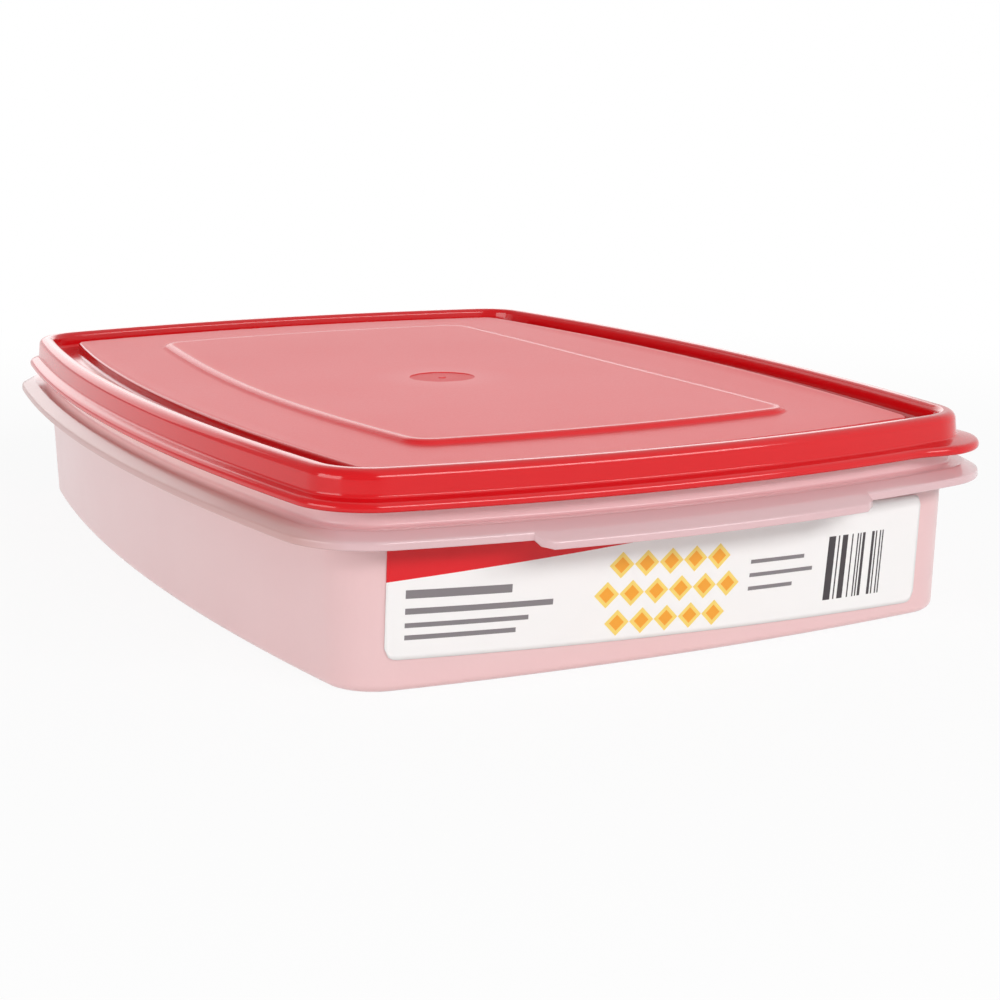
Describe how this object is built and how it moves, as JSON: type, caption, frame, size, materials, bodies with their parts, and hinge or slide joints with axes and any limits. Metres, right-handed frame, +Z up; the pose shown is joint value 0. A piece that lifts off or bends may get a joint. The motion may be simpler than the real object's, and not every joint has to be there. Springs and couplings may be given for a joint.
{
  "type": "egg storage container",
  "caption": "Shallow rectangular food container with bowed sides, a press-on lid with a corner lift tab, end grips and a removable tray of oval egg cups.",
  "frame": {"origin": "centre of the footprint, on the surface that the container stands on", "axes": "+X across the short side, +Y along the long side away from the label, +Z up"},
  "size_m": [0.2282, 0.3298, 0.0569],
  "materials": {
    "frosted_tub": "frosted translucent, satin",
    "red_lid": "gloss rim, fine matte texture on the panel",
    "frosted_tray": "white translucent, satin",
    "printed_label": "printed film, satin"
  },
  "bodies": {
    "tub": {"container_base": "frosted_tub", "label": "printed_label"},
    "lid": {"lid": "red_lid"},
    "egg_tray": {"egg_tray": "frosted_tray"}
  },
  "joints": [
    {"name": "lid_lift", "type": "slide", "parent": "tub", "child": "lid", "axis": [0, 0, 1], "range_m": [0, 0.14]},
    {"name": "egg_tray_lift", "type": "slide", "parent": "tub", "child": "egg_tray", "axis": [0, 0, 1], "range_m": [0, 0.07]}
  ],
  "couplings": [
    {"joint": "egg_tray_lift", "follows": "lid_lift", "ratio": 0.5}
  ]
}
